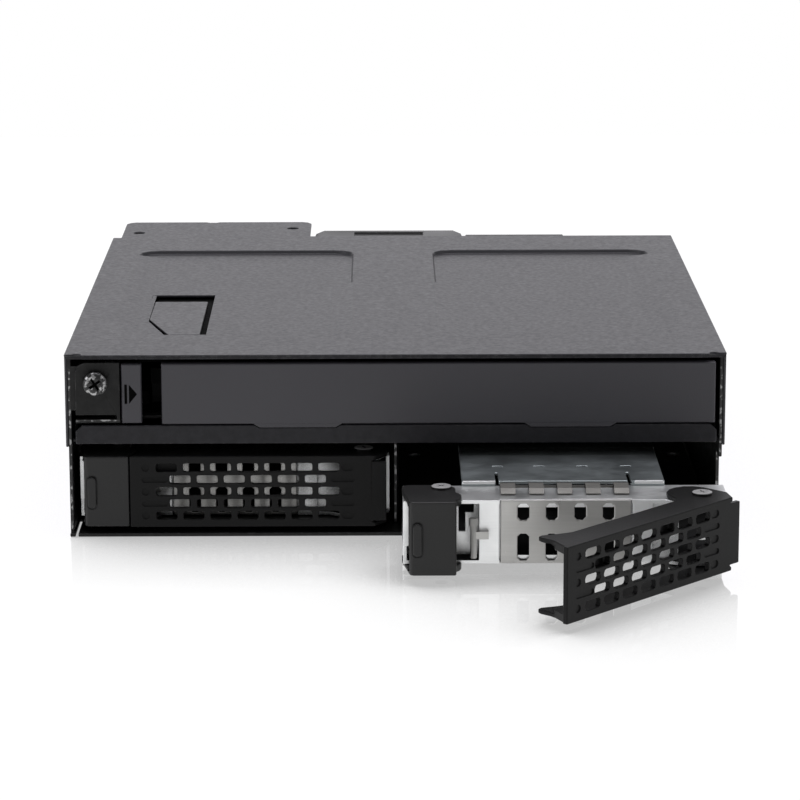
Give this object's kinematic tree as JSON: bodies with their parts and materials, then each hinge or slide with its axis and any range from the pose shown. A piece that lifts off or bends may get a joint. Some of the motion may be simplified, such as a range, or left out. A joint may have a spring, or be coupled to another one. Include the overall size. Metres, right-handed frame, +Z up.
{
  "type": "hot swap drive cage",
  "caption": "Half-height bay cage with hot swap 2.5 inch drive trays, perforated swing levers, latch caps, a slim optical drive above them and a rear fan.",
  "frame": {"origin": "middle of the front plane, on the underside of the floor", "axes": "+X to the right seen from the front, +Y to the rear, +Z up"},
  "size_m": [0.146, 0.2484, 0.0413],
  "materials": {
    "cage_steel": "textured grey powder coat",
    "cover_coat": "textured grey powder coat",
    "black_plastic": "fine matte",
    "panel_plastic": "fine matte charcoal",
    "zinc_plate": "bright zinc plate",
    "spring_steel": "bright",
    "screw_black": "black oxide",
    "screw_bright": "nickel plate",
    "board_green": "solder mask",
    "socket_black": "moulded",
    "nylon": "natural nylon",
    "brass": "plated",
    "fan_black": "moulded",
    "tray_plastic": "moulded"
  },
  "bodies": {
    "cage": {"chassis": "cage_steel", "top_cover": "cover_coat", "cover_screws": "screw_black", "bay_divider": "zinc_plate", "bay_shelf": "cage_steel", "tray_rails": "nylon", "optical_sled": "cage_steel", "sled_screw": "screw_black", "rear_panel": "cage_steel", "rear_plate": "cover_coat", "adapter_board": "board_green", "adapter_standoffs": "brass", "adapter_ports": "socket_black", "backplane_board": "board_green", "board_screws": "screw_bright", "data_ports": "socket_black", "power_port": "socket_black", "fan_frame": "fan_black", "fan_screws": "screw_black", "optical_case": "zinc_plate", "eject_switch": "socket_black", "left_drive_socket": "socket_black", "right_drive_socket": "socket_black"},
    "fan_rotor": {"fan_rotor": "fan_black"},
    "eject_button": {"eject_button": "panel_plastic"},
    "disc_tray": {"disc_tray": "tray_plastic", "disc_tray_front": "panel_plastic", "mechanism_deck": "zinc_plate", "spindle_motor": "socket_black", "pickup_rods": "screw_bright"},
    "disc_spindle": {"disc_spindle": "screw_bright"},
    "pickup": {"pickup": "socket_black"},
    "left_tray": {"left_tray_frame": "zinc_plate", "left_tray_grille": "zinc_plate", "left_tray_bridge": "zinc_plate", "left_contact_fingers": "spring_steel", "left_latch_catch": "spring_steel", "left_pivot_screws": "screw_bright"},
    "left_lever": {"left_lever": "black_plastic"},
    "left_latch_cap": {"left_latch_cap": "black_plastic"},
    "right_tray": {"right_tray_frame": "zinc_plate", "right_tray_grille": "zinc_plate", "right_tray_bridge": "zinc_plate", "right_contact_fingers": "spring_steel", "right_latch_catch": "spring_steel", "right_pivot_screws": "screw_bright"},
    "right_lever": {"right_lever": "black_plastic"},
    "right_latch_cap": {"right_latch_cap": "black_plastic"}
  },
  "joints": [
    {"name": "fan_spin", "type": "hinge", "parent": "cage", "child": "fan_rotor", "pos_m": [-0.001, 0.152, 0.021], "axis": [0, 1, 0], "continuous": true},
    {"name": "eject_press", "type": "slide", "parent": "cage", "child": "eject_button", "axis": [0, 1, 0], "range_m": [0, 0.0012], "stiffness_N_per_m": 600, "springref_m": -0.001},
    {"name": "disc_tray_slide", "type": "slide", "parent": "cage", "child": "disc_tray", "axis": [0, -1, 0], "range_m": [0, 0.112]},
    {"name": "disc_spin", "type": "hinge", "parent": "disc_tray", "child": "disc_spindle", "pos_m": [0.0072, 0.066, 0.034], "axis": [0, 0, 1], "continuous": true},
    {"name": "pickup_travel", "type": "slide", "parent": "disc_tray", "child": "pickup", "axis": [0, 1, 0], "range_m": [0, 0.017]},
    {"name": "left_tray_slide", "type": "slide", "parent": "cage", "child": "left_tray", "axis": [0, -1, 0], "range_m": [0, 0.11]},
    {"name": "left_lever_swing", "type": "hinge", "parent": "left_tray", "child": "left_lever", "pos_m": [-0.00707, 0.0063, 0.0188], "axis": [0, 0, 1], "range_deg": [0, 47]},
    {"name": "left_cap_press", "type": "hinge", "parent": "left_tray", "child": "left_latch_cap", "pos_m": [-0.06218, 0.0122, 0.0188], "axis": [0, 0, 1], "range_deg": [-4.5, 0], "stiffness_Nm_per_rad": 0.06, "springref_deg": 2.29},
    {"name": "right_tray_slide", "type": "slide", "parent": "cage", "child": "right_tray", "axis": [0, -1, 0], "range_m": [-0.041, 0.069]},
    {"name": "right_lever_swing", "type": "hinge", "parent": "right_tray", "child": "right_lever", "pos_m": [0.06467, -0.0347, 0.0188], "axis": [0, 0, 1], "range_deg": [-47, 0]},
    {"name": "right_cap_press", "type": "hinge", "parent": "right_tray", "child": "right_latch_cap", "pos_m": [0.00958, -0.0288, 0.0188], "axis": [0, 0, 1], "range_deg": [-4.5, 0], "stiffness_Nm_per_rad": 0.06, "springref_deg": 2.29}
  ]
}
